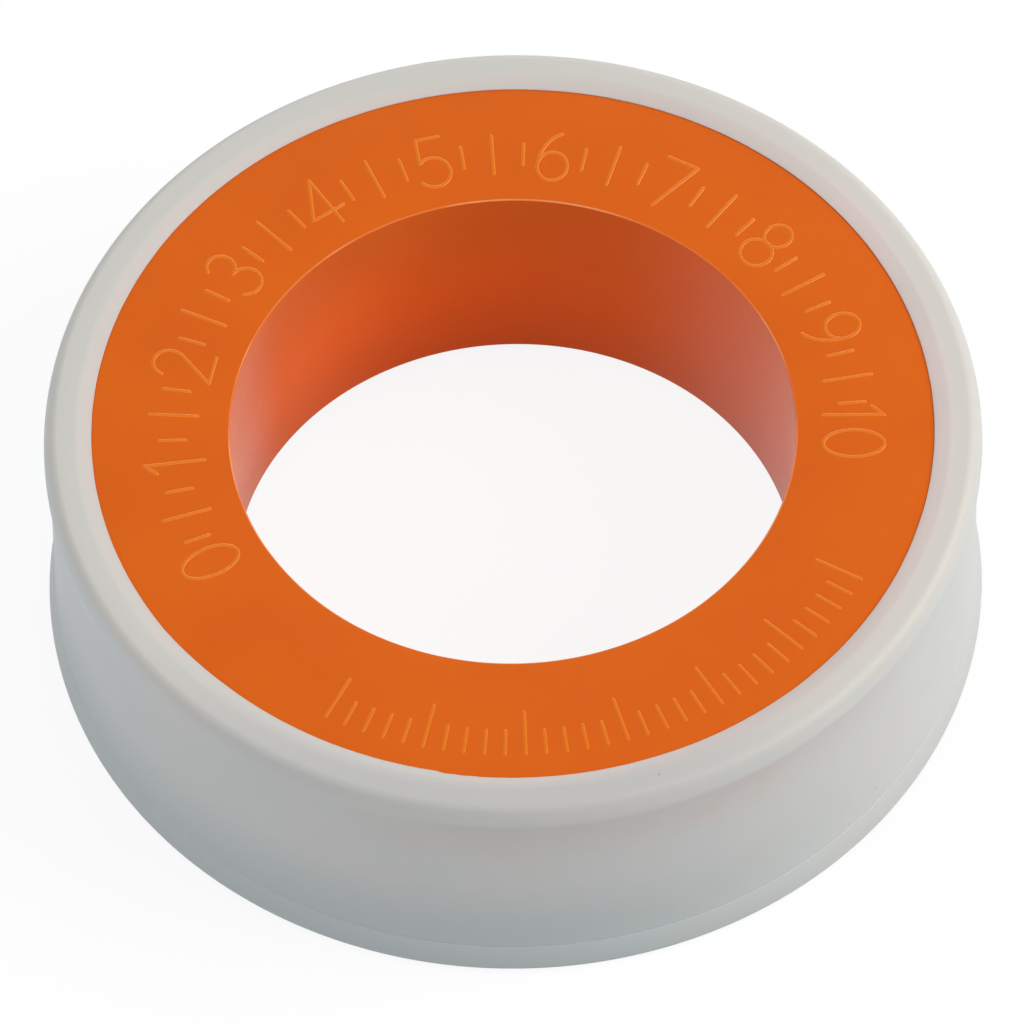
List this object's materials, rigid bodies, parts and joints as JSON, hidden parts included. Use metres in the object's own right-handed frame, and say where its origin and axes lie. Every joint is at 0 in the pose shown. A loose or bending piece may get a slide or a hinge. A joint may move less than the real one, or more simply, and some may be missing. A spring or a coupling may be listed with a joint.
{
  "type": "thread seal tape roll",
  "caption": "Round roll of thread seal tape: a flanged spool core carries the winding and turns in a case base, under a waisted cover ring that lifts off.",
  "frame": {"origin": "middle of the case base's underside, on the bore's axis", "axes": "+Z along the bore, from the case base up to the flange's face and the cover's lip"},
  "size_m": [0.051, 0.051, 0.0149],
  "materials": {
    "case_plastic": "waxy white, slightly translucent, satin",
    "core_plastic": "orange, smooth satin face with fine raised marks",
    "tape_film": "soft white film, dull sheen"
  },
  "bodies": {
    "base": {"case_base": "case_plastic"},
    "spool": {"spool_core": "core_plastic", "tape_winding": "tape_film"},
    "cover": {"cover_ring": "case_plastic"}
  },
  "joints": [
    {"name": "spool_turn", "type": "hinge", "parent": "base", "child": "spool", "pos_m": [0, 0, 0.0009], "axis": [0, 0, 1], "continuous": true},
    {"name": "cover_pull", "type": "slide", "parent": "base", "child": "cover", "axis": [0, 0, 1], "range_m": [0, 0.02]}
  ]
}
